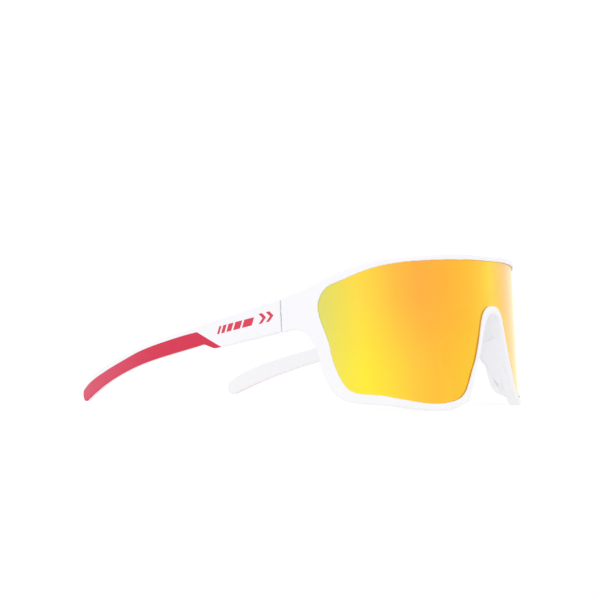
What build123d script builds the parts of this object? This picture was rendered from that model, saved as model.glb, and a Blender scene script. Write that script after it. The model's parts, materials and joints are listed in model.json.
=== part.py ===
"""Wraparound sport sunglasses with a one-piece shield lens and two folding arms.

The frame stands as it would on a table, on the two lobes of the rim and on the two
arm tips. +X is the wearer's left, +Y runs back along the arms and +Z is up. The
origin is on the table, under the middle of the whole part.

The front is a piece of a cylinder that leans back a little. Its own space is SHIELD:
x to the wearer's left, y back from the crown of the lens, z up along the cylinder.
An outline on it is a list of (angle, height): degrees round the cylinder's axis from
the middle of the lens, and millimetres up.
"""
import os
from math import cos, degrees, hypot, radians, sin, tan

from build123d import *

# Front: the shield and its rim
LEAN = 3.35  # degrees that the shield leans back
SHIELD_Y = -92.3  # place of the shield's space, so that the part is centred on Y
SHIELD_Z = 0.42  # and stands on Z = 0
LENS_RADIUS = 75.1  # outer face of the lens
LENS_THICK = 2.0
LIP = 1.0  # the rim stands this far proud of the lens
RIM_DEPTH = 4.4
LENS_HIDDEN = 1.0  # width of lens held inside the rim
SEAT_PLAY = 0.1  # gap round the edge of the lens, in its seat
BEND_ANGLE = 60.0  # the rim follows the cylinder this far, then bends to the arms
LENS_ARC = 63.0  # more than the lens reaches round the cylinder
SHIELD_TOP = 64.0  # more than the shield's height
SHIELD_BOTTOM = -3.0
BEYOND = 3.0  # cutting blocks reach this far past what they cut
NEAR_AXIS = 18.0  # a radial block runs from here, measured on the middle line,
PAST_RIM = 80.0  # to here

# The visible lens, one half: over the top, round the outer corner, along the bottom
# lobe and up the nose notch
LENS_HALF = [
    (0, 58.9), (20, 58.8), (34, 58.0), (45.6, 55.5), (54.5, 51.2), (59.4, 47.2), (60.7, 42.8),
    (59.4, 33.5), (57.6, 24), (55.8, 16), (53.2, 10.2), (48, 7.8), (40, 6.0), (33, 4.1),
    (27, 3.0), (21.5, 3.3), (17, 5.0), (14.1, 9.4), (11.5, 16.2), (9.1, 23.4), (6.8, 32.7),
    (5.0, 38.0), (2.4, 40.5), (0, 40.8),
]
LENS_STRAIGHTS = [2, 8, 12, 18]  # points of it that lie on straighter stretches
# The outside of the front, one half: the brow, from the middle to past the hinge
BROW_HALF = [
    (0, 60.8), (18, 61), (34, 59.8), (46, 58.2), (55, 54.6), (62, 50.6), (67.5, 47.8), (75, 45.4),
]
BROW_STRAIGHTS = [2]
# and from past the hinge round the lobe and up the nose notch to the middle
LOBE_HALF = [
    (75, 33.0), (70, 33.6), (66.5, 33.3), (63.9, 31.0), (62.1, 26.6), (60.9, 20.4), (59.7, 15),
    (57.3, 8.8), (53.5, 5.4), (47.2, 3.8), (35.1, 1.4), (27, 0), (22, 0), (17.6, 1.6),
    (13.6, 5.6), (11.2, 12.5), (8.6, 20), (6.4, 27.5), (4.4, 33.8), (2.4, 36.9), (0, 37.8),
]
LOBE_STRAIGHTS = [5, 10, 16]

# Hinges, in the shield's space
SPLIT_Y = 52.4  # the arms butt against the front here
SPLIT_GAP = 0.3
HINGE_X = 66.6
HINGE_HEIGHT = 39.8
SEAT_LENGTH = 9.2  # flat seat for the leaf inside each end piece
SEAT_DEPTH = 6.0
SEAT_HALF_HEIGHT = 10.0
BARREL_RADIUS = 2.1
BARREL_HALF = 4.5
MIDDLE_HALF = 1.5  # half the arm's knuckle
KNUCKLE_GAP = 0.1
BARREL_ROOM = 0.25  # air round the barrel
CORNER_ROOM = 0.9  # air round the axis, above and below the barrel, so that the corners pass
LEAF_HALF = 0.4  # half the thickness of a leaf
LEAF_HALF_HEIGHT = 3.4
LEAF_START = 2.3
FRONT_LEAF_END = 8.8
ARM_LEAF_END = 10.8
PIN_RADIUS = 0.7
PIN_PLAY = 0.03
PIN_HEAD_RADIUS = 1.3
PIN_HEAD_HEIGHT = 0.8
SLOT = 0.3  # width and depth of a driver slot
LEAF_SCREW_RADIUS = 0.5
LEAF_SCREW_HEAD = 0.9
LEAF_SCREW_LENGTH = 2.6
HEAD_TAPER = 45
FRONT_SCREWS = [(-6.2, 2.0), (-6.2, -2.0)]  # (back from the axis, up)
ARM_SCREWS = [(5.2, -0.7), (8.8, -1.6)]

# Arms: the outer face as (x, y), and the upper and lower edges as (y, z)
OUTER_X = 71.2  # outer face at the hinge
ARM_OUTER = [(71.1, -45), (71.6, -18), (70.4, 8), (66.9, 34.6), (61.7, 59), (55.9, 79.6), (51.0, 94)]
ARM_TOP = [
    (-48, 45.9), (-37.3, 43.2), (-7, 36.0), (28.8, 27.8), (56.3, 20.6), (79.6, 12.7), (86.0, 9.3),
    (90.7, 5.4),
]
ARM_TIP = [(90.7, 5.4), (91.2, 3.2), (90.7, 1.2), (89.5, 0.0)]
ARM_FOOT = [(89.5, 0.0), (88.3, 0.0)]
ARM_LOW_BACK = [(2.3, 25.7), (26, 20.8), (45.2, 16.4), (59.3, 12.1), (76.5, 5.5), (84, 2.0), (88.3, 0.0)]
ARM_LOW_FRONT = [(-48, 32.4), (-37.3, 30.5), (-15, 26.2), (-3.4, 24.1)]
ARM_SLOPE = 0.24  # the arm falls this much for each millimetre back
ARM_THICK_FRONT = 5.0
ARM_THICK_TIP = 3.2
GRIP_DEPTH = 1.2
GRIP_NOSE = [(-7.3, 24.9), (-0.5, 27.9), (6.0, 30.7)]  # pointed front of the red insert
GRIP_TOP = [(6.0, 30.7), (16, 28.9), (40.7, 23.4), (58.1, 17.9), (70.0, 13.9), (84.3, 8.4), (93, 2.9)]
GRIP_PAST_TIP = 93
GRIP_PAST_FOOT = -5

# Nose wings and pads, in the shield's space: the notch as (x, z)
NOTCH_HALF = [
    (25, -0.6), (20.5, 1.8), (17.2, 5.6), (14.2, 12.5), (10.9, 20), (8.1, 27.5), (5.6, 33.8),
    (3, 36.9), (0, 37.8),
]
WING_FLARE = 0.25  # sideways for each millimetre back
WING_THICK = 1.8
WING_FRONT = 1.4
WING_BACK = 17.0
WING_SIDE = [(1.4, 41), (8, 39), (15.2, 25), (15.2, 20), (11.4, 14), (8.7, 8.6), (6.5, 2.5), (1.4, 2.5)]
PAD_SIDE = [(4, 28), (11, 26), (13.6, 22.5), (10.4, 15.5), (8, 10.5), (5.5, 9), (4, 11)]
PAD_THICK = 1.0

LEAN_SIN = sin(radians(LEAN))
LEAN_COS = cos(radians(LEAN))
SHIELD = Plane(origin=(0, SHIELD_Y, SHIELD_Z), x_dir=(1, 0, 0), z_dir=(0, LEAN_SIN, LEAN_COS))
HINGE = Plane(
    origin=SHIELD.from_local_coords((HINGE_X, SPLIT_Y, HINGE_HEIGHT)),
    x_dir=(1, 0, 0),
    z_dir=SHIELD.z_dir,
)


def on_front(distance):
    """Flat plane that faces forward, this far in front of the shield's axis."""
    origin = SHIELD.from_local_coords((0, LENS_RADIUS - distance, 0))
    return Plane(origin=origin, x_dir=(1, 0, 0), z_dir=-SHIELD.y_dir)


def mirrored(outline):
    """The other half of an outline, in the opposite order."""
    return [(-across, up) for across, up in reversed(outline)]


def grown(outline, amount):
    """A clockwise run of an outline moved outwards, in millimetres along the shield."""
    flat = [(radians(angle) * LENS_RADIUS, height) for angle, height in outline]
    moved = []
    for index, (x, y) in enumerate(flat):
        before = flat[max(index - 1, 0)]
        after = flat[min(index + 1, len(flat) - 1)]
        length = hypot(after[0] - before[0], after[1] - before[1])
        x += amount * (before[1] - after[1]) / length
        y += amount * (after[0] - before[0]) / length
        on_middle = outline[index][0] == 0
        moved.append((0 if on_middle else degrees(x / LENS_RADIUS), y))
    return moved


def thrown(outline, distance):
    """An outline thrown from the shield's axis onto a flat plane in front of it."""
    return [(distance * tan(radians(angle)), height) for angle, height in outline]


def rails(outline, straights, distance):
    """Curves through a thrown outline, which meet at points on its straighter stretches."""
    halfway = thrown(outline, (NEAR_AXIS + PAST_RIM) / 2)
    spots = thrown(outline, distance)
    marks = [0.0]
    for (x, y), (next_x, next_y) in zip(halfway, halfway[1:]):
        marks.append(marks[-1] + hypot(next_x - x, next_y - y))
    joints = [0] + straights + [len(outline) - 1]
    curves = []
    for first, last in zip(joints, joints[1:]):
        curves.append(Edge.make_spline(spots[first : last + 1], parameters=marks[first : last + 1]))
    return curves


def symmetric_rails(half, straights, distance):
    """Curves through an outline and its mirror image, for a half that starts or ends in the middle."""
    last = len(half) - 1
    other_straights = [last - index for index in reversed(straights)]
    return rails(half, straights, distance) + rails(mirrored(half), other_straights, distance)


def radial_block(edges_at):
    """Everything inside an outline, with walls that point at the shield's axis."""
    with BuildPart() as block:
        for distance in (NEAR_AXIS, PAST_RIM):
            with BuildSketch(on_front(distance)):
                with BuildLine():
                    add(edges_at(distance))
                make_face()
        loft(ruled=True)
    return block.part


def front_edges(distance):
    """The outside of the front: brow, lobes with the nose notch, and two ends."""
    edges = symmetric_rails(BROW_HALF, BROW_STRAIGHTS, distance)
    edges += symmetric_rails(LOBE_HALF, LOBE_STRAIGHTS, distance)
    top, bottom = thrown([BROW_HALF[-1], LOBE_HALF[0]], distance)
    edges.append(Edge.make_line(top, bottom))
    edges.append(Edge.make_line((-top[0], top[1]), (-bottom[0], bottom[1])))
    return edges


def lens_edges(amount):
    """The edge of the visible lens, grown by an amount, for a radial block."""
    half = grown(LENS_HALF, amount)
    return lambda distance: symmetric_rails(half, LENS_STRAIGHTS, distance)


def ring(inner, outer, half_angle):
    """Part of a tube round the shield's axis, higher than the shield."""
    with BuildPart() as tube:
        with BuildSketch(SHIELD.offset(SHIELD_BOTTOM)):
            with BuildLine():
                front = CenterArc((0, LENS_RADIUS), outer, -90 - half_angle, 2 * half_angle)
                back = CenterArc((0, LENS_RADIUS), inner, -90 - half_angle, 2 * half_angle)
                Line(front @ 0, back @ 0)
                Line(front @ 1, back @ 1)
            make_face()
        extrude(amount=SHIELD_TOP - SHIELD_BOTTOM)
    return tube.part


def side_block(points_of_curves, reach):
    """A side outline, as curves through points (y, z), made into a block on the left."""
    with BuildPart() as block:
        with BuildSketch(Plane.YZ):
            with BuildLine():
                for points in points_of_curves:
                    add(Edge.make_spline(points) if len(points) > 2 else Edge.make_line(*points))
            make_face()
        extrude(amount=reach)
    return block.part


def shifted(points, front, back):
    """Plan points (x, y) moved inwards, by an amount that changes evenly along the arm."""
    length = points[-1][1] - points[0][1]
    return [(x - front - (back - front) * (y - points[0][1]) / length, y) for x, y in points]


def plan_block(outside, inside):
    """A block between two plan curves of the arm, from below to above it."""
    with BuildPart() as block:
        with BuildSketch(Plane.XY.offset(-BEYOND)):
            with BuildLine():
                outer = Spline(outside)
                inner = Spline(inside)
                Line(outer @ 0, inner @ 0)
                Line(outer @ 1, inner @ 1)
            make_face()
        extrude(amount=SHIELD_TOP + BEYOND)
    return block.part


def notch_wall(depth, gap, thick):
    """Closed outline of a wall round the nose, at a depth behind the lens's crown."""
    spread = WING_FLARE * (depth - WING_FRONT)
    runs = []
    for amount in (spread + gap, spread + gap + thick):
        half = []
        for index, (x, z) in enumerate(NOTCH_HALF):
            before = NOTCH_HALF[max(index - 1, 0)]
            after = NOTCH_HALF[min(index + 1, len(NOTCH_HALF) - 1)]
            length = hypot(after[0] - before[0], after[1] - before[1])
            across = 0 if x == 0 else (after[1] - before[1]) / length
            up = 1 if x == 0 else (before[0] - after[0]) / length
            half.append((x + amount * across, z + amount * up))
        runs.append(half + mirrored(half)[1:])
    inner, outer = (Edge.make_spline(run) for run in runs)
    return [inner, outer, Edge.make_line(inner @ 0, outer @ 0), Edge.make_line(inner @ 1, outer @ 1)]


def nose_wall(gap, thick, side):
    """A flared wall round the nose, cut to a side outline (y, z) in the shield's space."""
    with BuildPart() as wall:
        for depth in (WING_FRONT, WING_BACK):
            with BuildSketch(on_front(LENS_RADIUS - depth)):
                with BuildLine():
                    add(notch_wall(depth, gap, thick))
                make_face()
        loft(ruled=True)
        across = Plane(origin=SHIELD.origin, x_dir=SHIELD.y_dir, z_dir=(1, 0, 0))
        with BuildSketch(across):
            with BuildLine():
                Polyline(side, close=True)
            make_face()
        extrude(amount=2 * WING_BACK, both=True, mode=Mode.INTERSECT)
    return wall.part


# --- hinges, made on the wearer's left -----------------------------------------------
along_arm = Plane(origin=HINGE.origin, x_dir=HINGE.y_dir, z_dir=(1, 0, 0))


def hinge_box(low, high):
    """Box between two corners in the hinge's space, added to the part being made."""
    with Locations(HINGE.location * Pos(*low)):
        Box(*[b - a for a, b in zip(low, high)], align=Align.MIN)


def hinge_rod(radius, low, high, mode=Mode.ADD):
    """Rod on the hinge's axis from one height to another."""
    with Locations(HINGE.location * Pos(0, 0, low)):
        Cylinder(radius, high - low, align=(Align.CENTER, Align.CENTER, Align.MIN), mode=mode)


def leaf_plate(outline):
    """The flat of a leaf, from its outline (y, z)."""
    with BuildSketch(along_arm) as flat:
        with BuildLine():
            Polyline(outline, close=True)
        make_face()
    extrude(flat.sketch, amount=LEAF_HALF, both=True)


def screw_shanks(places, mode=Mode.ADD):
    """Shanks of the leaf screws at places (y, z), pointing outwards."""
    with BuildSketch(along_arm.offset(-LEAF_HALF)) as ends:
        with Locations(places):
            Circle(LEAF_SCREW_RADIUS)
    extrude(ends.sketch, amount=LEAF_SCREW_LENGTH, mode=mode)


def screw_heads(places, mode=Mode.ADD):
    """Countersunk heads of the leaf screws, flush with the leaf."""
    with BuildSketch(along_arm.offset(-LEAF_HALF)) as heads:
        with Locations(places):
            Circle(LEAF_SCREW_HEAD)
    extrude(heads.sketch, amount=LEAF_SCREW_HEAD - LEAF_SCREW_RADIUS, taper=HEAD_TAPER, mode=mode)


def leaf_screws(places):
    """The pair of screws that holds one leaf, with driver slots."""
    with BuildPart() as pair:
        screw_shanks(places)
        screw_heads(places)
        with BuildSketch(along_arm.offset(-LEAF_HALF)) as slots:
            with Locations(places):
                Rectangle(2 * LEAF_SCREW_HEAD, SLOT)
        extrude(slots.sketch, amount=SLOT / 2, mode=Mode.SUBTRACT)
    return pair.part


knuckle_edge = MIDDLE_HALF + KNUCKLE_GAP
plate_top = LEAF_HALF_HEIGHT
FRONT_PLATE = [
    (-FRONT_LEAF_END, plate_top), (-LEAF_START, plate_top),
    (-LEAF_START, -plate_top), (-FRONT_LEAF_END, -plate_top),
]
arm_fall = ARM_SLOPE * (ARM_LEAF_END - LEAF_START)
ARM_PLATE = [
    (LEAF_START, plate_top), (ARM_LEAF_END, plate_top - arm_fall),
    (ARM_LEAF_END, -plate_top - arm_fall), (LEAF_START, -plate_top),
]

with BuildPart() as front_hinge_leaf_left:
    leaf_plate(FRONT_PLATE)
    for low, high in ((knuckle_edge, BARREL_HALF), (-BARREL_HALF, -knuckle_edge)):
        hinge_rod(BARREL_RADIUS, low, high)
        web = (max(low, -plate_top), min(high, plate_top))
        hinge_box((-LEAF_HALF, -LEAF_START, web[0]), (LEAF_HALF, 0, web[1]))
    hinge_rod(PIN_RADIUS + PIN_PLAY, -BARREL_HALF, BARREL_HALF, Mode.SUBTRACT)
    hinge_rod(PIN_HEAD_RADIUS + PIN_PLAY, BARREL_HALF - PIN_HEAD_HEIGHT, BARREL_HALF, Mode.SUBTRACT)
    screw_shanks(FRONT_SCREWS, Mode.SUBTRACT)
    screw_heads(FRONT_SCREWS, Mode.SUBTRACT)

with BuildPart() as temple_hinge_leaf_left:
    leaf_plate(ARM_PLATE)
    hinge_rod(BARREL_RADIUS, -MIDDLE_HALF, MIDDLE_HALF)
    hinge_box((-LEAF_HALF, 0, -MIDDLE_HALF), (LEAF_HALF, LEAF_START, MIDDLE_HALF))
    hinge_rod(PIN_RADIUS + PIN_PLAY, -MIDDLE_HALF, MIDDLE_HALF, Mode.SUBTRACT)
    screw_shanks(ARM_SCREWS, Mode.SUBTRACT)
    screw_heads(ARM_SCREWS, Mode.SUBTRACT)

with BuildPart() as hinge_screw_left:
    hinge_rod(PIN_RADIUS, -BARREL_HALF + SLOT, BARREL_HALF - PIN_HEAD_HEIGHT)
    hinge_rod(PIN_HEAD_RADIUS, BARREL_HALF - PIN_HEAD_HEIGHT, BARREL_HALF)
    with Locations(HINGE.location * Pos(0, 0, BARREL_HALF)):
        Box(2 * PIN_HEAD_RADIUS, SLOT, 2 * SLOT, mode=Mode.SUBTRACT)

# what the hinge takes out of the end piece, and out of the arm
barrel_room = BARREL_RADIUS + BARREL_ROOM
room_half = BARREL_HALF + BARREL_ROOM
with BuildPart() as front_hinge_room:
    leaf_plate(FRONT_PLATE)
    hinge_box((-SEAT_DEPTH, -SEAT_LENGTH, -SEAT_HALF_HEIGHT), (-LEAF_HALF, SPLIT_GAP, SEAT_HALF_HEIGHT))
    hinge_rod(barrel_room, -room_half, room_half)
    hinge_rod(CORNER_ROOM, -SEAT_HALF_HEIGHT, SEAT_HALF_HEIGHT)
    screw_shanks(FRONT_SCREWS)
with BuildPart() as arm_hinge_room:
    leaf_plate(ARM_PLATE)
    hinge_rod(barrel_room, -room_half, room_half)
    hinge_rod(CORNER_ROOM, -SEAT_HALF_HEIGHT, SEAT_HALF_HEIGHT)
    screw_shanks(ARM_SCREWS)

# --- lens --------------------------------------------------------------------------
lens_inner = LENS_RADIUS - LENS_THICK
with BuildPart() as shield_lens:
    add(ring(lens_inner, LENS_RADIUS, LENS_ARC))
    add(radial_block(lens_edges(LENS_HIDDEN)), mode=Mode.INTERSECT)
shield_lens.part.label = "shield_lens"

with BuildPart() as lens_seat:
    add(ring(lens_inner, LENS_RADIUS, LENS_ARC))
    add(radial_block(lens_edges(LENS_HIDDEN + SEAT_PLAY)), mode=Mode.INTERSECT)

# --- nose pads ---------------------------------------------------------------------------
with BuildPart() as nose_pad_left:
    add(nose_wall(-PAD_THICK, PAD_THICK, PAD_SIDE))
    split(bisect_by=Plane.YZ, keep=Keep.TOP)

# --- front frame -------------------------------------------------------------------
front_y = SPLIT_Y - SPLIT_GAP / 2
leaf_inner_x = HINGE_X - LEAF_HALF
with BuildPart() as front_frame:
    with BuildSketch(SHIELD.offset(SHIELD_BOTTOM)):
        with BuildLine():
            crown = CenterArc((0, LENS_RADIUS), LENS_RADIUS + LIP, -90, BEND_ANGLE)
            inside = CenterArc((0, LENS_RADIUS), LENS_RADIUS + LIP - RIM_DEPTH, -90, BEND_ANGLE)
            outer_bend = Spline(crown @ 1, (OUTER_X, front_y), tangents=[crown % 1, (0.04, 1)])
            inner_bend = Spline(inside @ 1, (leaf_inner_x, front_y), tangents=[inside % 1, (0, 1)])
            Line(outer_bend @ 1, inner_bend @ 1)
            Line(crown @ 0, inside @ 0)
        make_face()
        mirror(about=Plane.YZ)
    extrude(amount=SHIELD_TOP - SHIELD_BOTTOM)
    add(radial_block(front_edges), mode=Mode.INTERSECT)
    add(radial_block(lens_edges(0)), mode=Mode.SUBTRACT)
    add(nose_wall(0, WING_THICK, WING_SIDE))
    add(lens_seat.part, mode=Mode.SUBTRACT)
    add(nose_pad_left.part, mode=Mode.SUBTRACT)
    mirror(nose_pad_left.part, about=Plane.YZ, mode=Mode.SUBTRACT)
    add(front_hinge_room.part, mode=Mode.SUBTRACT)
    mirror(front_hinge_room.part, about=Plane.YZ, mode=Mode.SUBTRACT)
    # the rim rests on two narrow flats under its lobes
    with BuildSketch(Plane.XY):
        Rectangle(4 * LENS_RADIUS, 4 * LENS_RADIUS)
    extrude(amount=SHIELD_BOTTOM, mode=Mode.SUBTRACT)
front_frame.part.label = "front_frame"

# --- arms and their rubber inserts ---------------------------------------------------
arm_inner = shifted(ARM_OUTER, ARM_THICK_FRONT, ARM_THICK_TIP)
arm_step = [ARM_LOW_FRONT[-1], ARM_LOW_BACK[0]]
arm_front = [ARM_TOP[0], ARM_LOW_FRONT[0]]
arm_side = [ARM_TOP, ARM_TIP, ARM_FOOT, ARM_LOW_BACK, arm_step, ARM_LOW_FRONT, arm_front]
with BuildPart() as arm_blank:
    add(side_block(arm_side, 2 * HINGE_X))
    add(plan_block(ARM_OUTER, arm_inner), mode=Mode.INTERSECT)
    with Locations(SHIELD.location * Pos(HINGE_X, SPLIT_Y + SPLIT_GAP / 2, HINGE_HEIGHT)):
        ahead = (4 * ARM_THICK_FRONT, 4 * SEAT_LENGTH, 4 * SEAT_HALF_HEIGHT)
        Box(*ahead, align=(Align.CENTER, Align.MAX, Align.CENTER), mode=Mode.SUBTRACT)

grip_outside = shifted(ARM_OUTER, -BEYOND, -BEYOND)
grip_inside = shifted(ARM_OUTER, GRIP_DEPTH, GRIP_DEPTH)
grip_corners = [GRIP_TOP[-1], (GRIP_PAST_TIP, GRIP_PAST_FOOT), (GRIP_NOSE[0][0], GRIP_PAST_FOOT)]
grip_corners.append(GRIP_NOSE[0])
grip_side = [GRIP_NOSE, GRIP_TOP]
grip_side += [list(corners) for corners in zip(grip_corners, grip_corners[1:])]
with BuildPart() as grip_pocket:
    add(side_block(grip_side, 2 * HINGE_X))
    add(plan_block(grip_outside, grip_inside), mode=Mode.INTERSECT)

with BuildPart() as temple_left:
    add(arm_blank.part)
    add(grip_pocket.part, mode=Mode.SUBTRACT)
    add(arm_hinge_room.part, mode=Mode.SUBTRACT)

with BuildPart() as temple_grip_left:
    add(arm_blank.part)
    add(grip_pocket.part, mode=Mode.INTERSECT)

# --- the wearer's right side and the files ------------------------------------------------
left_pieces = {
    "temple": temple_left,
    "temple_grip": temple_grip_left,
    "nose_pad": nose_pad_left,
    "front_hinge_leaf": front_hinge_leaf_left,
    "temple_hinge_leaf": temple_hinge_leaf_left,
    "hinge_screw": hinge_screw_left,
}
finished = [front_frame.part, shield_lens.part]
for name, places in (("front_leaf_screws", FRONT_SCREWS), ("temple_leaf_screws", ARM_SCREWS)):
    with BuildPart() as pair:
        add(leaf_screws(places))
    left_pieces[name] = pair
for name, left in left_pieces.items():
    left.part.label = name + "_left"
    with BuildPart() as right:
        mirror(left.part, about=Plane.YZ)
    right.part.label = name + "_right"
    finished += [left.part, right.part]

os.makedirs("parts", exist_ok=True)
for piece in finished:
    export_step(piece, "parts/" + piece.label + ".step")
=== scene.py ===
"""Wraparound sport sunglasses: a white moulded front, a mirrored shield lens and two folding arms.

Everything is in metres, in the row's frame: +X is the wearer's left, +Y runs back along the
arms, +Z is up and the sunglasses stand on z = 0. The moulded pieces are skinned from their
solids, so they stay where the model has them, and get the soft edges of a real moulding.
"""
from __future__ import annotations

import json
import logging
import math
from dataclasses import dataclass, field
from enum import Enum
from typing import Callable, Iterable, Sequence

import bmesh
import bpy
from mathutils import Matrix, Vector
from mathutils.bvhtree import BVHTree


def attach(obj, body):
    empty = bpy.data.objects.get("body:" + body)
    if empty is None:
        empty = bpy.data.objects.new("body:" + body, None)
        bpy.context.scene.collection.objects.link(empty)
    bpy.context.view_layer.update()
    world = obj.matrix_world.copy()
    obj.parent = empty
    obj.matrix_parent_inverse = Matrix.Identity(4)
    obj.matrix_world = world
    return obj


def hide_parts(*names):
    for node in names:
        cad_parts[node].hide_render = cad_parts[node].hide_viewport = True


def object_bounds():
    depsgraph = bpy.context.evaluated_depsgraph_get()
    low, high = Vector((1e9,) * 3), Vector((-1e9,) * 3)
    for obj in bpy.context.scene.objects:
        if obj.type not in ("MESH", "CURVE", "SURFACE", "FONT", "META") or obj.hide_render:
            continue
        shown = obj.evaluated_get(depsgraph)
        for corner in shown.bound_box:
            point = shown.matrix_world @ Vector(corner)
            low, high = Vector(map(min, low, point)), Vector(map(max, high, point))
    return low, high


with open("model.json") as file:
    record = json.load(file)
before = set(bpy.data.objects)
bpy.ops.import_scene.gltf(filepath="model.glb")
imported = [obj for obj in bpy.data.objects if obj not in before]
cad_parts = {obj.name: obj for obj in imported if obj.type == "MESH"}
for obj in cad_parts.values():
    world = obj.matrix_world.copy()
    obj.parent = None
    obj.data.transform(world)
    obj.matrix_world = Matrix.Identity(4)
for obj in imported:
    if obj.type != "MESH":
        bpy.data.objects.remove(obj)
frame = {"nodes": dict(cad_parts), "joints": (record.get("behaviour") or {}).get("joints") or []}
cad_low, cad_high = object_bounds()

log = logging.getLogger("sunglasses")
MM = 0.001
WELD = 1e-6  # corners closer than this, in metres, are one
TINY = 1e-9
Colour = tuple[float, float, float]
Spot = tuple[float, float]


class Side(Enum):
    """The two sides of the sunglasses, from the wearer's point of view."""

    LEFT = "left"
    RIGHT = "right"

    @property
    def sign(self) -> int:
        """+1 on the side of +X."""
        return 1 if self is Side.LEFT else -1

    @property
    def body(self) -> str:
        """The body that this side's arm moves with."""
        return f"{self.value}_temple"


def linear(red: int, green: int, blue: int) -> Colour:
    """A display colour of 0 to 255 in each channel, as scene-linear values."""
    return tuple(
        c / 12.92 if c <= 0.04045 else ((c + 0.055) / 1.055) ** 2.4
        for c in (red / 255, green / 255, blue / 255)
    )


# --- shader building blocks -----------------------------------------------------------


class Nodes:
    """A short way to write a node tree."""

    def __init__(self, tree: bpy.types.NodeTree) -> None:
        """Keeps the tree that the nodes go into."""
        self.tree = tree

    def add(self, kind: str, settings: dict | None = None, **inputs: object) -> bpy.types.Node:
        """Adds one node.

        Args:
            kind: The node's type, such as "ShaderNodeMath".
            settings: Properties of the node itself.
            **inputs: Values or sockets for its inputs; an underscore stands for a space,
                and in0, in1 and so on name an input by its place.

        Returns:
            The new node.
        """
        node = self.tree.nodes.new(kind)
        for name, value in (settings or {}).items():
            setattr(node, name, value)
        for name, value in inputs.items():
            by_place = name.startswith("in") and name[2:].isdigit()
            key = int(name[2:]) if by_place else name.replace("_", " ")
            socket = node.inputs[key]
            if isinstance(value, bpy.types.NodeSocket):
                self.tree.links.new(value, socket)
            else:
                socket.default_value = value
        return node

    def math(self, operation: str, *values: object) -> bpy.types.NodeSocket:
        """The result of a Math node on up to three values or sockets."""
        inputs = {f"in{place}": value for place, value in enumerate(values)}
        return self.add("ShaderNodeMath", {"operation": operation}, **inputs).outputs[0]

    def ramp(self, factor: object, stops: Sequence[tuple[float, Colour]]) -> bpy.types.NodeSocket:
        """A row of colours, read at a factor.

        Args:
            factor: Where to read it, from 0 to 1.
            stops: Rows of (place, colour).

        Returns:
            The socket with the colour.
        """
        node = self.add("ShaderNodeValToRGB", in0=factor)
        elements = node.color_ramp.elements
        while len(elements) < len(stops):
            elements.new(1.0)
        for element, (place, colour) in zip(elements, stops):
            element.position = place
            element.color = (*colour, 1.0)
        return node.outputs[0]

    def wiped_gloss(
        self,
        group: bpy.types.NodeTree,
        smear: tuple[float, float, float],
        lowest: float,
        spread: float,
    ) -> bpy.types.NodeSocket:
        """Places the wiped-gloss group.

        Args:
            group: The shared group.
            smear: The smears' scale, detail and roughness.
            lowest: The surface's lowest roughness.
            spread: How much the smears add to it.

        Returns:
            The socket with the roughness.
        """
        scale, detail, roughness = smear
        return self.add(
            "ShaderNodeGroup",
            {"node_tree": group},
            Smear_Scale=scale,
            Smear_Detail=detail,
            Smear_Roughness=roughness,
            Lowest_Roughness=lowest,
            Roughness_Spread=spread,
        ).outputs[0]


def new_group(
    name: str,
    inputs: Sequence[tuple[str, str, object]],
    outputs: Sequence[tuple[str, str]],
) -> Nodes:
    """An empty shader group with its sockets made.

    Args:
        name: The group's name.
        inputs: Rows of (name, socket type, default).
        outputs: Rows of (name, socket type).

    Returns:
        The group's nodes; its tree is in .tree.
    """
    tree = bpy.data.node_groups.new(name, "ShaderNodeTree")
    for label, kind, default in inputs:
        socket = tree.interface.new_socket(label, in_out="INPUT", socket_type=kind)
        socket.default_value = default
    for label, kind in outputs:
        tree.interface.new_socket(label, in_out="OUTPUT", socket_type=kind)
    return Nodes(tree)


def new_material(name: str) -> tuple[bpy.types.Material, Nodes, bpy.types.Node]:
    """A material to be filled in.

    Args:
        name: The material's name.

    Returns:
        The material, its nodes and its shader.
    """
    material = bpy.data.materials.new(name)
    material.use_nodes = True
    return material, Nodes(material.node_tree), material.node_tree.nodes["Principled BSDF"]


def set_values(shader: bpy.types.Node, values: dict[str, object]) -> None:
    """Sets the inputs that are the same all over a surface.

    Args:
        shader: The node to set.
        values: The values, by the inputs' names.
    """
    for label, value in values.items():
        shader.inputs[label].default_value = value


FLOAT = "NodeSocketFloat"
COLOUR = "NodeSocketColor"
VECTOR = "NodeSocketVector"


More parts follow.
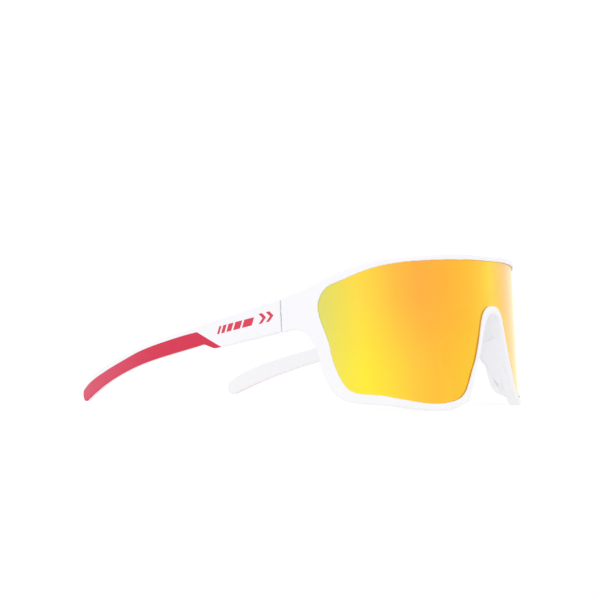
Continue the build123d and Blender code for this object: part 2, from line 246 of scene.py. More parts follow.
def moulded_skin_group() -> bpy.types.NodeTree:
    """A group for moulded surfaces: flow-marked colour, uneven gloss and a fine grain.

    Returns:
        The node tree, which puts out Color, Roughness and Normal.
    """
    nodes = new_group(
        "moulded_skin",
        [
            ("Color", COLOUR, (0.8, 0.8, 0.8, 1.0)),
            ("Shade", COLOUR, (0.7, 0.7, 0.7, 1.0)),
            ("Shade Amount", FLOAT, 0.3),
            ("Roughness", FLOAT, 0.4),
            ("Roughness Spread", FLOAT, 0.1),
            ("Grain Scale", FLOAT, 4000.0),
            ("Grain Depth", FLOAT, 0.05),
        ],
        [("Color", COLOUR), ("Roughness", FLOAT), ("Normal", VECTOR)],
    )
    given = nodes.add("NodeGroupInput")
    place = nodes.add("ShaderNodeTexCoord").outputs["Object"]
    flow = nodes.add("ShaderNodeTexNoise", Vector=place, Scale=55.0, Detail=3.0, Roughness=0.55)
    handling = nodes.add("ShaderNodeTexNoise", Vector=place, Scale=240.0, Detail=4.0, Roughness=0.6)
    grain = nodes.add(
        "ShaderNodeTexNoise", Vector=place, Scale=given.outputs["Grain Scale"], Detail=2.0, Roughness=0.5
    )
    amount = nodes.math("MULTIPLY", flow.outputs[0], given.outputs["Shade Amount"])
    colour = nodes.add(
        "ShaderNodeMix",
        {"data_type": "RGBA"},
        in0=amount,
        in6=given.outputs["Color"],
        in7=given.outputs["Shade"],
    )
    centred = nodes.math("SUBTRACT", handling.outputs[0], 0.5)
    spread = nodes.math("MULTIPLY", centred, given.outputs["Roughness Spread"])
    rough = nodes.math("ADD", given.outputs["Roughness"], spread)
    bump = nodes.add(
        "ShaderNodeBump", Strength=given.outputs["Grain Depth"], Distance=0.00005, Height=grain.outputs[0]
    )
    out = nodes.add("NodeGroupOutput")
    nodes.tree.links.new(colour.outputs[2], out.inputs["Color"])
    nodes.tree.links.new(rough, out.inputs["Roughness"])
    nodes.tree.links.new(bump.outputs[0], out.inputs["Normal"])
    return nodes.tree


def wiped_gloss_group() -> bpy.types.NodeTree:
    """A group for polished lens faces: the faintly uneven gloss that wiping leaves.

    Returns:
        The node tree, which puts out Roughness.
    """
    nodes = new_group(
        "wiped_gloss",
        [
            ("Smear Scale", FLOAT, 100.0),
            ("Smear Detail", FLOAT, 4.0),
            ("Smear Roughness", FLOAT, 0.5),
            ("Lowest Roughness", FLOAT, 0.03),
            ("Roughness Spread", FLOAT, 0.03),
        ],
        [("Roughness", FLOAT)],
    )
    given = nodes.add("NodeGroupInput")
    smear = nodes.add(
        "ShaderNodeTexNoise",
        Vector=nodes.add("ShaderNodeTexCoord").outputs["Object"],
        Scale=given.outputs["Smear Scale"],
        Detail=given.outputs["Smear Detail"],
        Roughness=given.outputs["Smear Roughness"],
    )
    spread, lowest = given.outputs["Roughness Spread"], given.outputs["Lowest Roughness"]
    gloss = nodes.math("MULTIPLY_ADD", smear.outputs[0], spread, lowest)
    out = nodes.add("NodeGroupOutput")
    nodes.tree.links.new(gloss, out.inputs["Roughness"])
    return nodes.tree


@dataclass(frozen=True)
class Moulded:
    """A moulded plastic or rubber finish."""

    name: str
    colour: Colour
    shade: Colour
    shade_amount: float
    roughness: float
    spread: float
    grain_scale: float
    grain_depth: float
    specular: float = 0.5
    coat: float = 0.0
    coat_roughness: float = 0.25
    sheen: float = 0.0
    painted_sheen_colour: Colour | None = None  # painted sheen: the lighter, pinker colour that it turns to along the arm
    painted_sheen_start: float = 0.035
    painted_sheen_end: float = 0.095

    def build(self, skin: bpy.types.NodeTree) -> bpy.types.Material:
        """Makes the material.

        Args:
            skin: The shared moulded-skin group.

        Returns:
            The finished material.
        """
        material, nodes, shader = new_material(self.name)
        group = nodes.add(
            "ShaderNodeGroup",
            {"node_tree": skin},
            Color=(*self.colour, 1.0),
            Shade=(*self.shade, 1.0),
            Shade_Amount=self.shade_amount,
            Roughness=self.roughness,
            Roughness_Spread=self.spread,
            Grain_Scale=self.grain_scale,
            Grain_Depth=self.grain_depth,
        )
        links = material.node_tree.links
        # painted sheen: the colour turns lighter and pinker towards the rear of the arm, standing in for the
        # sheen of grazing light
        if self.painted_sheen_colour is not None:
            place = nodes.add("ShaderNodeTexCoord").outputs["Object"]
            along = nodes.add("ShaderNodeSeparateXYZ", in0=place).outputs[1]
            share = nodes.add(
                "ShaderNodeMapRange", Value=along, From_Min=self.painted_sheen_start, From_Max=self.painted_sheen_end
            )
            painted_sheen_mix = nodes.add(
                "ShaderNodeMix",
                {"data_type": "RGBA"},
                in0=share.outputs[0],
                in6=(*self.colour, 1.0),
                in7=(*self.painted_sheen_colour, 1.0),
            )
            links.new(painted_sheen_mix.outputs[2], group.inputs["Color"])
        links.new(group.outputs["Color"], shader.inputs["Base Color"])
        links.new(group.outputs["Roughness"], shader.inputs["Roughness"])
        links.new(group.outputs["Normal"], shader.inputs["Normal"])
        set_values(shader, {
            "Specular IOR Level": self.specular,
            "Coat Weight": self.coat,
            "Coat Roughness": self.coat_roughness,
            "Sheen Weight": self.sheen,
        })
        return material


@dataclass(frozen=True)
class MirrorCoating:
    """The shield's mirror coating: its colour runs round the lens and from top to bottom."""

    name: str
    axis_y: float  # place of the shield's axis at z = 0
    lean: float  # how far that axis leans back for each metre up
    full_angle: float = 62.0  # degrees round the axis at which the colours end
    top: float = 0.050  # height above which only the upper colours show
    bottom: float = 0.010
    drift: float = 0.03  # how far the coating's unevenness moves the colours
    drift_scale: float = 22.0
    mirror: float = 0.93
    index: float = 1.1
    coat: float = 0.35
    coat_roughness: float = 0.02
    edge_sheen: float = 1.0
    sheen_roughness: float = 0.3
    sheen_tint: Colour = (1.0, 0.98, 0.5)
    lowest_roughness: float = 0.03
    gloss_spread: float = 0.03
    smear: tuple[float, float, float] = (90.0, 5.0, 0.6)  # scale, detail and roughness
    upper: tuple[tuple[float, Colour], ...] = (
        (0, linear(255, 214, 20)),
        (5, linear(255, 201, 26)),
        (10, linear(255, 190, 34)),
        (20, linear(255, 178, 44)),
        (30, linear(255, 174, 56)),
        (38, linear(255, 188, 58)),
        (45, linear(255, 210, 60)),
        (50, linear(252, 220, 66)),
        (55, linear(238, 221, 80)),
        (60, linear(224, 220, 104)),
    )
    lower: tuple[tuple[float, Colour], ...] = (
        (0, linear(255, 214, 24)),
        (15, linear(255, 200, 34)),
        (25, linear(255, 191, 48)),
        (33, linear(255, 202, 54)),
        (41, linear(255, 221, 50)),
        (48, linear(255, 235, 46)),
        (54, linear(248, 231, 72)),
        (60, linear(232, 226, 104)),
    )

    def build(self, wiped: bpy.types.NodeTree) -> bpy.types.Material:
        """Makes the material.

        Args:
            wiped: The shared wiped-gloss group.

        Returns:
            The finished material.
        """
        material, nodes, shader = new_material(self.name)
        place = nodes.add("ShaderNodeTexCoord").outputs["Object"]
        parts = nodes.add("ShaderNodeSeparateXYZ", in0=place)
        axis = nodes.math("MULTIPLY_ADD", parts.outputs[2], self.lean, self.axis_y)
        ahead = nodes.math("SUBTRACT", axis, parts.outputs[1])
        sideways = nodes.math("ABSOLUTE", parts.outputs[0])
        angle = nodes.math("ARCTAN2", sideways, ahead)
        cloud = nodes.add("ShaderNodeTexNoise", Vector=place, Scale=self.drift_scale, Detail=1.0)
        drift = nodes.math("MULTIPLY", nodes.math("SUBTRACT", cloud.outputs[0], 0.5), self.drift)
        turned = nodes.math("DIVIDE", angle, math.radians(self.full_angle))
        factor = nodes.math("ADD", turned, drift)
        colours = []
        for stops in (self.upper, self.lower):
            placed = [(degrees / self.full_angle, colour) for degrees, colour in stops]
            colours.append(nodes.ramp(factor, placed))
        rise = nodes.add(
            "ShaderNodeMapRange",
            {"interpolation_type": "SMOOTHSTEP"},
            Value=parts.outputs[2],
            From_Min=self.bottom,
            From_Max=self.top,
        )
        mixed = nodes.add(
            "ShaderNodeMix", {"data_type": "RGBA"}, in0=rise.outputs[0], in6=colours[1], in7=colours[0]
        )
        gloss = nodes.wiped_gloss(wiped, self.smear, self.lowest_roughness, self.gloss_spread)
        links = material.node_tree.links
        links.new(mixed.outputs[2], shader.inputs["Base Color"])
        links.new(gloss, shader.inputs["Roughness"])
        set_values(shader, {
            "Metallic": self.mirror,
            "Transmission Weight": 1.0,
            "IOR": self.index,
            "Coat Weight": self.coat,
            "Coat Roughness": self.coat_roughness,
            "Sheen Weight": self.edge_sheen,
            "Sheen Roughness": self.sheen_roughness,
            "Sheen Tint": (*self.sheen_tint, 1.0),
        })
        return material


@dataclass(frozen=True)
class SmokedInside:
    """The clear smoky inner face of the lens, under its mirror coating."""

    name: str
    thin: Colour = (0.42, 0.27, 0.15)
    deep: Colour = (0.34, 0.21, 0.11)
    cloud_scale: float = 30.0
    index: float = 1.1
    coat: float = 0.6
    coat_roughness: float = 0.03
    lowest_roughness: float = 0.035
    gloss_spread: float = 0.03
    smear: tuple[float, float, float] = (120.0, 4.0, 0.5)  # scale, detail and roughness

    def build(self, wiped: bpy.types.NodeTree) -> bpy.types.Material:
        """Makes the material.

        Args:
            wiped: The shared wiped-gloss group.

        Returns:
            The finished material.
        """
        material, nodes, shader = new_material(self.name)
        place = nodes.add("ShaderNodeTexCoord").outputs["Object"]
        cloud = nodes.add("ShaderNodeTexNoise", Vector=place, Scale=self.cloud_scale, Detail=2.0)
        tint = nodes.ramp(cloud.outputs[0], [(0.3, self.deep), (0.7, self.thin)])
        gloss = nodes.wiped_gloss(wiped, self.smear, self.lowest_roughness, self.gloss_spread)
        links = material.node_tree.links
        links.new(tint, shader.inputs["Base Color"])
        links.new(gloss, shader.inputs["Roughness"])
        set_values(shader, {
            "Transmission Weight": 1.0,
            "IOR": self.index,
            "Coat Weight": self.coat,
            "Coat Roughness": self.coat_roughness,
        })
        return material


@dataclass(frozen=True)
class BrushedSteel:
    """Stainless steel with fine turning and brushing marks."""

    name: str
    colour: Colour = (0.56, 0.56, 0.58)
    darkest: float = 0.72  # tone of the deepest marks, as a share of the colour
    lowest_roughness: float = 0.21
    gloss_spread: float = 0.18
    brushing: tuple[float, float, float] = (9000.0, 600.0, 9000.0)
    mark_strength: float = 0.15
    mark_depth: float = 0.03 * MM

    def build(self) -> bpy.types.Material:
        """Makes the material.

        Returns:
            The finished material.
        """
        material, nodes, shader = new_material(self.name)
        place = nodes.add("ShaderNodeTexCoord").outputs["Object"]
        stretched = nodes.add("ShaderNodeMapping", Vector=place, Scale=self.brushing)
        brushed = nodes.add("ShaderNodeTexNoise", Vector=stretched.outputs[0], Scale=1.0, Detail=3.0)
        dark = tuple(self.darkest * channel for channel in self.colour)
        tone = nodes.ramp(brushed.outputs[0], [(0.3, dark), (0.7, self.colour)])
        rough = nodes.math("MULTIPLY_ADD", brushed.outputs[0], self.gloss_spread, self.lowest_roughness)
        bump = nodes.add(
            "ShaderNodeBump", Strength=self.mark_strength, Distance=self.mark_depth, Height=brushed.outputs[0]
        )
        links = material.node_tree.links
        links.new(tone, shader.inputs["Base Color"])
        links.new(rough, shader.inputs["Roughness"])
        links.new(bump.outputs[0], shader.inputs["Normal"])
        set_values(shader, {"Metallic": 1.0})
        return material


class Finishes:
    """Every material of the sunglasses, made once."""

    def __init__(self, shield: ShieldSpace) -> None:
        """Makes the materials.

        Args:
            shield: The leaning cylinder whose axis the lens's colours follow.
        """
        skin, wiped = moulded_skin_group(), wiped_gloss_group()
        self.white = Moulded(
            "frame_white", linear(240, 240, 243), linear(233, 232, 238), 0.5, 0.36, 0.10, 5200.0, 0.10,
            coat=0.12,
        ).build(skin)
        self.red = Moulded(
            "grip_red", linear(210, 34, 72), linear(198, 22, 58), 0.6, 0.52, 0.12, 3600.0, 0.35,
            # painted sheen: the insert turns lighter and pinker towards the rear of the arm
            specular=0.35, sheen=0.05, painted_sheen_colour=linear(220, 84, 116),
        ).build(skin)
        # painted light: the pads' white is a shade brighter than the frame's, to lift the shade that falls on
        # the pads
        self.pad = Moulded(
            "pad_white", linear(242, 242, 245), linear(235, 234, 240), 0.5, 0.55, 0.10, 4200.0, 0.30,
            specular=0.4,
        ).build(skin)
        self.ink = Moulded(
            "print_red", linear(214, 48, 78), linear(200, 36, 68), 0.3, 0.42, 0.06, 6000.0, 0.08
        ).build(skin)
        self.mirror = MirrorCoating("lens_mirror", shield.axis_y_at_floor, shield.lean_per_metre).build(wiped)
        self.smoked = SmokedInside("lens_inside").build(wiped)
        self.steel = BrushedSteel("hinge_steel").build()


# --- mesh building blocks ---------------------------------------------------------------


def linked(name: str, mesh: bpy.types.Mesh) -> bpy.types.Object:
    """Puts a new object in the scene.

    Args:
        name: The object's name.
        mesh: Its mesh.

    Returns:
        The object.
    """
    obj = bpy.data.objects.new(name, mesh)
    bpy.context.scene.collection.objects.link(obj)
    return obj


def settle(obj: bpy.types.Object) -> bpy.types.Object:
    """Applies an object's modifiers.

    Args:
        obj: The object, which keeps its name.

    Returns:
        The same object, with its final mesh and no modifiers.
    """
    graph = bpy.context.evaluated_depsgraph_get()
    mesh = bpy.data.meshes.new_from_object(obj.evaluated_get(graph))
    obj.modifiers.clear()
    old = obj.data
    obj.data = mesh
    bpy.data.meshes.remove(old)
    mesh.name = obj.name
    return obj


def welded_copy(name: str, *nodes: str) -> bpy.types.Object:
    """One object made of the closed meshes of some solids.

    Args:
        name: The new object's name.
        *nodes: The solids' names.

    Returns:
        The new object.
    """
    made = bmesh.new()
    for node in nodes:
        made.from_mesh(frame["nodes"][node].data)
    bmesh.ops.remove_doubles(made, verts=made.verts, dist=WELD)
    mesh = bpy.data.meshes.new(name)
    made.to_mesh(mesh)
    made.free()
    return linked(name, mesh)


SOFTENING = 0.5  # how far each round of smoothing moves a corner


def skinned(obj: bpy.types.Object, voxel: float, passes: int) -> bpy.types.Object:
    """Gives a mesh the even skin and soft edges of a moulding.

    Args:
        obj: The object to change.
        voxel: Size of the skin's squares.
        passes: Rounds of smoothing; more make wider edges.

    Returns:
        The same object.
    """
    remesh = obj.modifiers.new("skin", "REMESH")
    remesh.mode = "VOXEL"
    remesh.voxel_size = voxel
    remesh.use_smooth_shade = True
    soften = obj.modifiers.new("soften", "SMOOTH")
    soften.factor = SOFTENING
    soften.iterations = passes
    return settle(obj)


def cut(obj: bpy.types.Object, tool: bpy.types.Object, operation: str) -> bpy.types.Object:
    """Cuts an object with another one, and applies the result.

    Args:
        obj: The object to change.
        tool: The closed mesh that cuts it.
        operation: "DIFFERENCE" or "INTERSECT".

    Returns:
        The same object.
    """
    boolean = obj.modifiers.new("cut", "BOOLEAN")
    boolean.object = tool
    boolean.operation = operation
    boolean.solver = "MANIFOLD"
    return settle(obj)


def other_side(obj: bpy.types.Object, name: str) -> bpy.types.Object:
    """The mirror image of a piece across the middle of the sunglasses.

    Args:
        obj: The piece to mirror.
        name: The new piece's name.

    Returns:
        The new piece.
    """
    mesh = obj.data.copy()
    mesh.transform(Matrix.Scale(-1.0, 4, Vector((1.0, 0.0, 0.0))))
    mesh.flip_normals()
    mesh.name = name
    return linked(name, mesh)


def curve_through(spots: Sequence[Spot], steps: int) -> list[Spot]:
    """Points on a smooth curve through some spots.

    Args:
        spots: The spots, in order.
        steps: Points for each stretch between two spots.

    Returns:
        The points, with both ends.
    """
    points = []
    last = len(spots) - 1
    for index in range(last):
        p0, p1 = Vector(spots[max(index - 1, 0)]), Vector(spots[index])
        p2, p3 = Vector(spots[index + 1]), Vector(spots[min(index + 2, last)])
        span = (p2 - p1).length
        tangent_in = (p2 - p0) * span / max((p2 - p0).length, TINY)
        tangent_out = (p3 - p1) * span / max((p3 - p1).length, TINY)
        for step in range(steps):
            t = step / steps
            h1, h2 = 2 * t**3 - 3 * t**2 + 1, t**3 - 2 * t**2 + t
            h3, h4 = 3 * t**2 - 2 * t**3, t**3 - t**2
            point = p1 * h1 + tangent_in * h2 + p2 * h3 + tangent_out * h4
            points.append((point.x, point.y))
    points.append(tuple(spots[-1]))
    return points


def value_at(points: Sequence[Spot], x: float) -> float:
    """The height of a run of points at one place.

    Args:
        points: The run, as (x, y), with x rising along it.
        x: The place.

    Returns:
        The y there.
    """
    if x <= points[0][0]:
        return points[0][1]
    for (x0, y0), (x1, y1) in zip(points, points[1:]):
        if x <= x1:
            share = (x - x0) / max(x1 - x0, TINY)
            return y0 + (y1 - y0) * share
    return points[-1][1]


def finished(
    obj: bpy.types.Object,
    material: bpy.types.Material,
    body: str,
    replaces: Iterable[str] = (),
) -> bpy.types.Object:
    """Dresses a piece and ties it to the model.

    Args:
        obj: The piece.
        material: Its only material.
        body: The body that it rides on.
        replaces: The solids that it stands for.

    Returns:
        The same piece.
    """
    obj.data.materials.clear()
    obj.data.materials.append(material)
    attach(obj, body)
    for node in replaces:
        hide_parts(node)
    log.info("%s: %d faces on %s", obj.name, len(obj.data.polygons), body)
    return obj


# --- the sub-assemblies ------------------------------------------------------------------


@dataclass
class ShieldSpace:
    """The leaning cylinder that the front is part of.

    x is to the wearer's left, y back from the crown of the lens, and z up along the cylinder.
    """

    radius: float = 75.1 * MM
    origin_y: float = -92.3 * MM
    origin_z: float = 0.42 * MM
    lean: Vector = field(default_factory=lambda: Vector(frame["joints"][0]["axis"]).normalized())

    @property
    def lean_per_metre(self) -> float:
        """How far the cylinder's axis moves back for each metre up."""
        return self.lean.y / self.lean.z

    @property
    def axis_y_at_floor(self) -> float:
        """Where the cylinder's axis crosses z = 0."""
        back = self.point(0.0, self.radius, 0.0)
        return back.y - back.z * self.lean_per_metre

    def point(self, x: float, y: float, z: float) -> Vector:
        """A place given in the shield's space, in the row's frame."""
        back = Vector((0.0, self.lean.z, -self.lean.y))
        return Vector((x, self.origin_y, self.origin_z)) + back * y + self.lean * z

    def to_axis(self, spot: Vector) -> float:
        """Distance of a place from the cylinder's axis."""
        axis_y = self.axis_y_at_floor + spot.z * self.lean_per_metre
        return math.hypot(spot.x, (spot.y - axis_y) * self.lean.z)

    def on_cylinder(self, degrees: float, height: float, radius: float) -> Vector:
        """A place on a cylinder round the shield's axis."""
        angle = math.radians(degrees)
        return self.point(radius * math.sin(angle), self.radius - radius * math.cos(angle), height)


@dataclass
class ShieldLens:
    """The one-piece mirrored lens, with its nose notch."""

    shield: ShieldSpace
    thickness: float = 2.0 * MM
    hidden: float = 1.0  # millimetres held inside the rim
    columns: int = 250
    rows: int = 48
    edge_steps: int = 10
    least_height: float = 0.05  # millimetres left at the two outer ends
    sharp_degrees: float = 40.0
    # the visible edge, one half: degrees round the axis and millimetres up
    top: tuple[Spot, ...] = (
        (0, 58.9), (20, 58.8), (34, 58.0), (45.6, 55.5), (54.5, 51.2), (59.4, 47.2), (60.7, 42.8),
    )
    low: tuple[Spot, ...] = (
        (0, 40.8), (2.4, 40.5), (5.0, 38.0), (6.8, 32.7), (9.1, 23.4), (11.5, 16.2), (14.1, 9.4), (17, 5.0),
        (21.5, 3.3), (27, 3.0), (33, 4.1), (40, 6.0), (48, 7.8), (53.2, 10.2), (55.8, 16), (57.6, 24),
        (59.4, 33.5), (60.7, 42.8),
    )

    def grown(self, run: Sequence[Spot], outwards: int) -> list[Spot]:
        """An edge moved out into the rim.

        Args:
            run: The edge, from the middle outwards.
            outwards: +1 for the upper edge and -1 for the lower one.

        Returns:
            The moved edge.
        """
        per_degree = math.radians(1.0) * self.shield.radius / MM
        moved = []
        for index, (angle, height) in enumerate(run):
            before, after = run[max(index - 1, 0)], run[min(index + 1, len(run) - 1)]
            along = Vector(((after[0] - before[0]) * per_degree, after[1] - before[1])).normalized()
            shift = self.hidden * outwards
            side = -along.y * shift / per_degree
            moved.append((angle + (0.0 if angle == 0 else side), height + along.x * shift))
        return moved

    def build(self, finishes: Finishes) -> bpy.types.Object:
        """Makes the lens as an even grid with two faces and a closed edge.

        Args:
            finishes: The materials.

        Returns:
            The lens.
        """
        upper = curve_through(self.grown(self.top, 1), self.edge_steps)
        lower = curve_through(self.grown(self.low, -1), self.edge_steps)
        reach = max(upper[-1][0], lower[-1][0])
        verts: list[Vector] = []
        for radius in (self.shield.radius, self.shield.radius - self.thickness):
            for column in range(self.columns + 1):
                turn = 2 * column / self.columns - 1
                angle = reach * math.sin(turn * math.pi / 2)
                high = value_at(upper, abs(angle))
                low = min(value_at(lower, abs(angle)), high - self.least_height)
                for row in range(self.rows + 1):
                    height = low + (high - low) * row / self.rows
                    verts.append(self.shield.on_cylinder(angle, height * MM, radius))
        across, layer = self.rows + 1, (self.columns + 1) * (self.rows + 1)
        faces = []
        for column in range(self.columns):
            for row in range(self.rows):
                a = column * across + row
                quad = (a, a + across, a + across + 1, a + 1)
                faces.append(quad)
                faces.append(tuple(layer + v for v in reversed(quad)))
            for row, flip in ((0, False), (self.rows, True)):
                a = column * across + row
                edge = (a, layer + a, layer + a + across, a + across)
                faces.append(tuple(reversed(edge)) if flip else edge)
        for row in range(self.rows):
            a = row
            faces.append((a, a + 1, layer + a + 1, layer + a))
            a = self.columns * across + row
            faces.append((a, layer + a, layer + a + 1, a + 1))
        mesh = bpy.data.meshes.new("mirror_lens")
        mesh.from_pydata(verts, [], faces)
        mesh.validate()
        mesh.shade_smooth()
        mesh.set_sharp_from_angle(angle=math.radians(self.sharp_degrees))
        lens = linked("mirror_lens", mesh)
        finished(lens, finishes.mirror, "front", ["shield_lens"])
        mesh.materials.append(finishes.smoked)
        inner_limit = self.shield.radius - self.thickness * 3 / 4
        for face in mesh.polygons:
            face.material_index = 1 if self.shield.to_axis(face.center) < inner_limit else 0
        return lens


@dataclass
class FrontFrame:
    """The white front: rim, end pieces and nose wings, with the two soft nose pads."""

    voxel: float = 0.35 * MM
    passes: int = 7
    pad_margin: float = 0.08 * MM

    def build(self, finishes: Finishes) -> None:
        """Makes the front and its pads, cut from one skin so that they meet closely.

        Args:
            finishes: The materials.
        """
        pads = [f"nose_pad_{side.value}" for side in Side]
        rim = skinned(welded_copy("moulded_front", "front_frame", *pads), self.voxel, self.passes)
        for node in pads:
            cutter = self.swollen(node)
            pad = linked(f"soft_{node}", rim.data.copy())
            cut(pad, cutter, "INTERSECT")
            cut(rim, cutter, "DIFFERENCE")
            bpy.data.objects.remove(cutter)
            finished(pad, finishes.pad, "front", [node])
        finished(rim, finishes.white, "front", ["front_frame"])

    def swollen(self, node: str) -> bpy.types.Object:
        """A solid's mesh, made a little larger all round.

        Args:
            node: The solid's name.

        Returns:
            The larger copy.
        """
        obj = welded_copy(f"{node}_cutter", node)
        made = bmesh.new()
        made.from_mesh(obj.data)
        made.normal_update()
        for vert in made.verts:
            vert.co += vert.normal * self.pad_margin
        made.to_mesh(obj.data)
        made.free()
        return obj


@dataclass
class Arm:
    """One folding arm: the white moulding, its red rubber insert and the printed bars."""

    voxel: float = 0.26 * MM
    passes: int = 16
    grip_depth: float = 1.2 * MM
    print_height: float = 0.025 * MM
    slices: int = 200
    top_steps: int = 12
    plan_steps: int = 16
    sharp_degrees: float = 35.0
    pocket_reach: float = 3.0  # millimetres that the block stands out of the arm
    pocket_floor: float = -4.0
    # the printed row: slanted bars, then chevrons that point forwards, in millimetres
    print_start: Spot = (-5.5, 29.7)  # lower rear corner, as (y, z)
    print_rise: float = 0.19  # the row rises this much for each millimetre forwards
    bars: tuple[Spot, ...] = ((0.0, 1.2), (2.2, 1.8), (5.0, 2.6), (8.6, 3.6), (13.2, 5.0))
    bar_height: float = 3.0
    bar_lean: float = 0.4
    chevrons: tuple[float, ...] = (21.6, 25.2)
    chevron_width: float = 1.7
    chevron_reach: float = 2.0
    chevron_heights: tuple[float, float, float] = (-0.2, 1.8, 3.8)
    print_steps: int = 6  # squares along each side of a printed patch
    print_sharp_degrees: float = 40.0
    ray_start: float = 100 * MM  # clear of the arm, on the outer side
    # side outline of the insert, as (y, z) in millimetres: its pointed front and its top edge
    grip_nose: tuple[Spot, ...] = ((-7.3, 24.9), (-0.5, 27.9), (6.0, 30.7))
    grip_top: tuple[Spot, ...] = (
        (6.0, 30.7), (16, 28.9), (40.7, 23.4), (58.1, 17.9), (70.0, 13.9), (84.3, 8.4), (93, 2.9),
    )
    # plan of the arm's outer face, as (y, x)
    outer: tuple[Spot, ...] = (
        (-45, 71.1), (-18, 71.6), (8, 70.4), (34.6, 66.9), (59, 61.7), (79.6, 55.9), (94, 51.0),
    )

    def pocket(self) -> bpy.types.Object:
        """Makes the block that parts the insert from the arm, out of upright slices.

        Returns:
            The closed block.
        """
        top = list(self.grip_nose) + curve_through(self.grip_top, self.top_steps)[1:]
        outer = curve_through(self.outer, self.plan_steps)
        first, last = top[0][0], top[-1][0]
        made = bmesh.new()
        slices = []
        for step in range(self.slices + 1):
            y = first + (last - first) * step / self.slices
            inside = value_at(outer, y) - self.grip_depth / MM
            outside = value_at(outer, y) + self.pocket_reach
            corners = (
                (inside, self.pocket_floor), (outside, self.pocket_floor),
                (outside, value_at(top, y)), (inside, value_at(top, y)),
            )
            slices.append([made.verts.new((x * MM, y * MM, z * MM)) for x, z in corners])
        for here, there in zip(slices, slices[1:]):
            for corner in range(4):
                after = (corner + 1) % 4
                made.faces.new((here[corner], here[after], there[after], there[corner]))
        for end in (slices[0], slices[-1]):
            made.faces.new(end)
        bmesh.ops.recalc_face_normals(made, faces=made.faces)
        mesh = bpy.data.meshes.new("pocket")
        made.to_mesh(mesh)
        made.free()
        return linked("pocket", mesh)

    def build(self, finishes: Finishes) -> None:
        """Makes both arms; the right one is the left one's mirror image.

        Args:
            finishes: The materials.
        """
        whole = skinned(welded_copy("arm", "temple_left", "temple_grip_left"), self.voxel, self.passes)
        pocket = self.pocket()
        grip = linked("insert", whole.data.copy())
        cut(whole, pocket, "DIFFERENCE")
        cut(grip, pocket, "INTERSECT")
        bpy.data.objects.remove(pocket)
        for obj in (whole, grip):
            obj.data.set_sharp_from_angle(angle=math.radians(self.sharp_degrees))
        marks = self.printed_bars(whole)
        for side in Side:
            for source, name, finish, slot, node in (
                (whole, "moulded_arm", finishes.white, "frame_white", f"temple_{side.value}"),
                (grip, "rubber_insert", finishes.red, "grip_red", f"temple_grip_{side.value}"),
                (marks, "printed_bars", finishes.ink, "frame_white", None),
            ):
                full_name = f"{name}_{side.value}"
                if side is Side.LEFT:
                    piece = linked(full_name, source.data.copy())
                else:
                    piece = other_side(source, full_name)
                finished(piece, finish, side.body, [node] if node else [])
        for obj in (whole, grip, marks):
            bpy.data.objects.remove(obj)

    def printed_bars(self, arm: bpy.types.Object) -> bpy.types.Object:
        """Slanted bars and chevrons printed on the outer face of the arm.

        Args:
            arm: The arm that they lie on.

        Returns:
            One mesh of thin closed patches.
        """
        tree = BVHTree.FromObject(arm, bpy.context.evaluated_depsgraph_get())
        lean = self.bar_lean * self.bar_height
        patches: list[list[Spot]] = []
        for start, length in self.bars:
            end = start + length
            head = [(end + lean, self.bar_height), (start + lean, self.bar_height)]
            patches.append([(start, 0), (end, 0), *head])
        low, middle, high = self.chevron_heights
        for start in self.chevrons:
            end, point = start + self.chevron_width, start + self.chevron_reach
            past = point + self.chevron_width
            patches.append([(start, low), (end, low), (past, middle), (point, middle)])
            patches.append([(point, middle), (past, middle), (end, high), (start, high)])
        made = bmesh.new()
        for patch in patches:
            self.raise_patch(made, tree, patch)
        mesh = bpy.data.meshes.new("marks")
        made.to_mesh(mesh)
        made.free()
        mesh.shade_smooth()
        mesh.set_sharp_from_angle(angle=math.radians(self.print_sharp_degrees))
        return linked("marks", mesh)

    def raise_patch(self, made: bmesh.types.BMesh, tree: BVHTree, patch: Sequence[Spot]) -> None:
        """Lays one four-cornered patch of ink on the arm.

        Args:
            made: The mesh to add to.
            tree: The arm's surface.
            patch: Four corners, as (forwards, up) from the start of the row, in millimetres.
        """
        start_y, start_z = self.print_start
        steps = self.print_steps
        inwards = Vector((-1.0, 0.0, 0.0))
        layers = []
        for lift in (self.print_height, -self.print_height):
            grid = []
            for i in range(steps + 1):
                row = []
                for j in range(steps + 1):
                    u, v = i / steps, j / steps
                    low = Vector(patch[0]).lerp(Vector(patch[1]), u)
                    top = Vector(patch[3]).lerp(Vector(patch[2]), u)
                    spot = low.lerp(top, v)
                    y = start_y - spot.x
                    z = start_z + spot.y + self.print_rise * spot.x
                    place, normal, _, _ = tree.ray_cast(Vector((self.ray_start, y * MM, z * MM)), inwards)
                    row.append(made.verts.new(place + normal * lift))
                grid.append(row)
            layers.append(grid)
        top_grid, low_grid = layers
        new_faces = []
        for i in range(steps):
            for j in range(steps):
                for grid, order in ((top_grid, 1), (low_grid, -1)):
                    quad = [grid[i][j], grid[i + 1][j], grid[i + 1][j + 1], grid[i][j + 1]]
                    new_faces.append(made.faces.new(quad[::order]))
        rim = [(i, 0) for i in range(steps)] + [(steps, j) for j in range(steps)]
        rim += [(i, steps) for i in range(steps, 0, -1)] + [(0, j) for j in range(steps, 0, -1)]
        for (i0, j0), (i1, j1) in zip(rim, rim[1:] + rim[:1]):
            edge = (top_grid[i0][j0], low_grid[i0][j0], low_grid[i1][j1], top_grid[i1][j1])
            new_faces.append(made.faces.new(edge))
        bmesh.ops.recalc_face_normals(made, faces=new_faces)


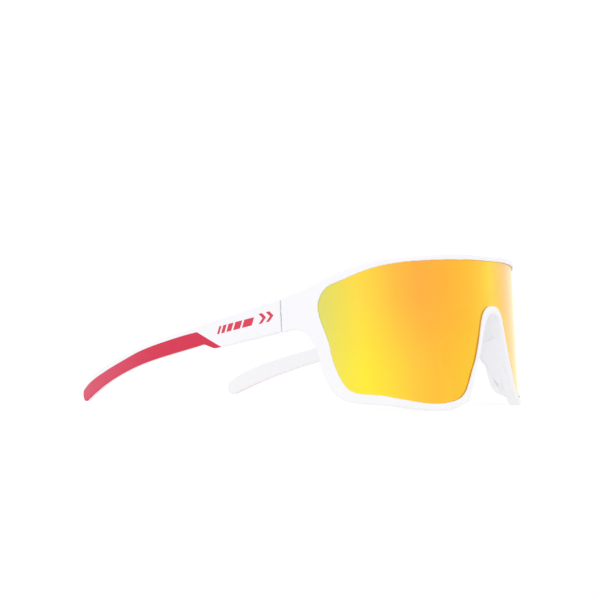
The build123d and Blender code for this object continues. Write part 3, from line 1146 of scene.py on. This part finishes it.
@dataclass
class Hinges:
    """The steel leaves and screws, which keep their own solids."""

    nodes: tuple[str, ...] = (
        "front_hinge_leaf", "temple_hinge_leaf", "hinge_screw", "front_leaf_screws", "temple_leaf_screws",
    )

    def build(self, finishes: Finishes) -> None:
        """Gives each steel part its brushed finish.

        Args:
            finishes: The materials.
        """
        for side in Side:
            for node in self.nodes:
                part = frame["nodes"][f"{node}_{side.value}"]
                if not part.material_slots:
                    part.data.materials.append(finishes.steel)
                for material_slot in part.material_slots:
                    material_slot.material = finishes.steel
                log.info("%s: brushed steel", part.name)


# --- the studio ----------------------------------------------------------------------------


@dataclass
class Studio:
    """A white studio: floor, soft light and the camera."""

    camera_at: Vector = field(default_factory=lambda: Vector((-0.48105, -0.35913, 0.02674)))
    camera_to: Vector = field(default_factory=lambda: Vector((-0.06762, -0.0444, 0.04283)))
    focal_mm: float = 81.05
    sensor_mm: float = 36.0
    clip: tuple[float, float] = (0.01, 50.0)
    floor_size: float = 6.0
    floor_tone: float = 0.16
    floor_glow: float = 0.85
    floor_roughness: float = 0.9
    floor_gloss: float = 0.1
    world_strength: float = 1.05
    key_at: tuple[float, float, float] = (-0.75, -0.35, 0.95)
    key_size: float = 0.9
    key_watts: float = 1.6

    def build(self) -> None:
        """Makes the floor, the lights and the camera."""
        self.floor()
        self.world()
        self.light("key", self.key_at, self.key_size, self.key_watts)
        self.camera()
        view = bpy.context.scene.view_settings
        view.view_transform = "Standard"
        view.look = "None"

    def floor(self) -> None:
        """A plain pale floor."""
        half = self.floor_size / 2
        corners = [(-half, -half, 0), (half, -half, 0), (half, half, 0), (-half, half, 0)]
        mesh = bpy.data.meshes.new("floor")
        mesh.from_pydata([Vector(c) for c in corners], [], [(0, 1, 2, 3)])
        obj = linked("floor", mesh)
        material, _, shader = new_material("floor_white")
        tone = self.floor_tone
        set_values(shader, {
            "Base Color": (tone, tone, tone, 1.0),
            "Roughness": self.floor_roughness,
            "Specular IOR Level": self.floor_gloss,
            "Emission Color": (1.0, 1.0, 1.0, 1.0),
            "Emission Strength": self.floor_glow,
        })
        mesh.materials.append(material)

    def world(self) -> None:
        """Even white light from all round."""
        world = bpy.data.worlds.new("studio")
        world.use_nodes = True
        background = world.node_tree.nodes["Background"]
        set_values(background, {"Color": (1.0, 1.0, 1.0, 1.0), "Strength": self.world_strength})
        bpy.context.scene.world = world

    def light(self, name: str, place: tuple[float, float, float], size: float, power: float) -> None:
        """A soft square light that points at the sunglasses.

        Args:
            name: The light's name.
            place: Where it is.
            size: Its width.
            power: Its power in watts.
        """
        lamp = bpy.data.lights.new(name, "AREA")
        lamp.size = size
        lamp.energy = power
        obj = bpy.data.objects.new(name, lamp)
        bpy.context.scene.collection.objects.link(obj)
        obj.location = place
        aim = (cad_low + cad_high) / 2 - Vector(place)
        obj.rotation_euler = aim.to_track_quat("-Z", "Y").to_euler()

    def camera(self) -> None:
        """A long lens near the floor, off the wearer's right."""
        data = bpy.data.cameras.new("camera")
        data.lens = self.focal_mm
        data.sensor_width = self.sensor_mm
        data.clip_start, data.clip_end = self.clip
        obj = bpy.data.objects.new("camera", data)
        bpy.context.scene.collection.objects.link(obj)
        obj.location = self.camera_at
        obj.rotation_euler = (self.camera_to - self.camera_at).to_track_quat("-Z", "Y").to_euler()
        bpy.context.scene.camera = obj


def main() -> None:
    """Builds the studio and every sub-assembly, and logs each piece's face count."""
    logging.basicConfig(level=logging.INFO, format="%(message)s")
    Studio().build()
    shield = ShieldSpace()
    finishes = Finishes(shield)
    assemblies: list[tuple[str, Callable[[], object]]] = [
        ("front frame", lambda: FrontFrame().build(finishes)),
        ("lens", lambda: ShieldLens(shield).build(finishes)),
        ("arms", lambda: Arm().build(finishes)),
        ("hinges", lambda: Hinges().build(finishes)),
    ]
    for name, build in assemblies:
        build()
        log.info("made the %s", name)


if __name__ == "__main__":
    main()
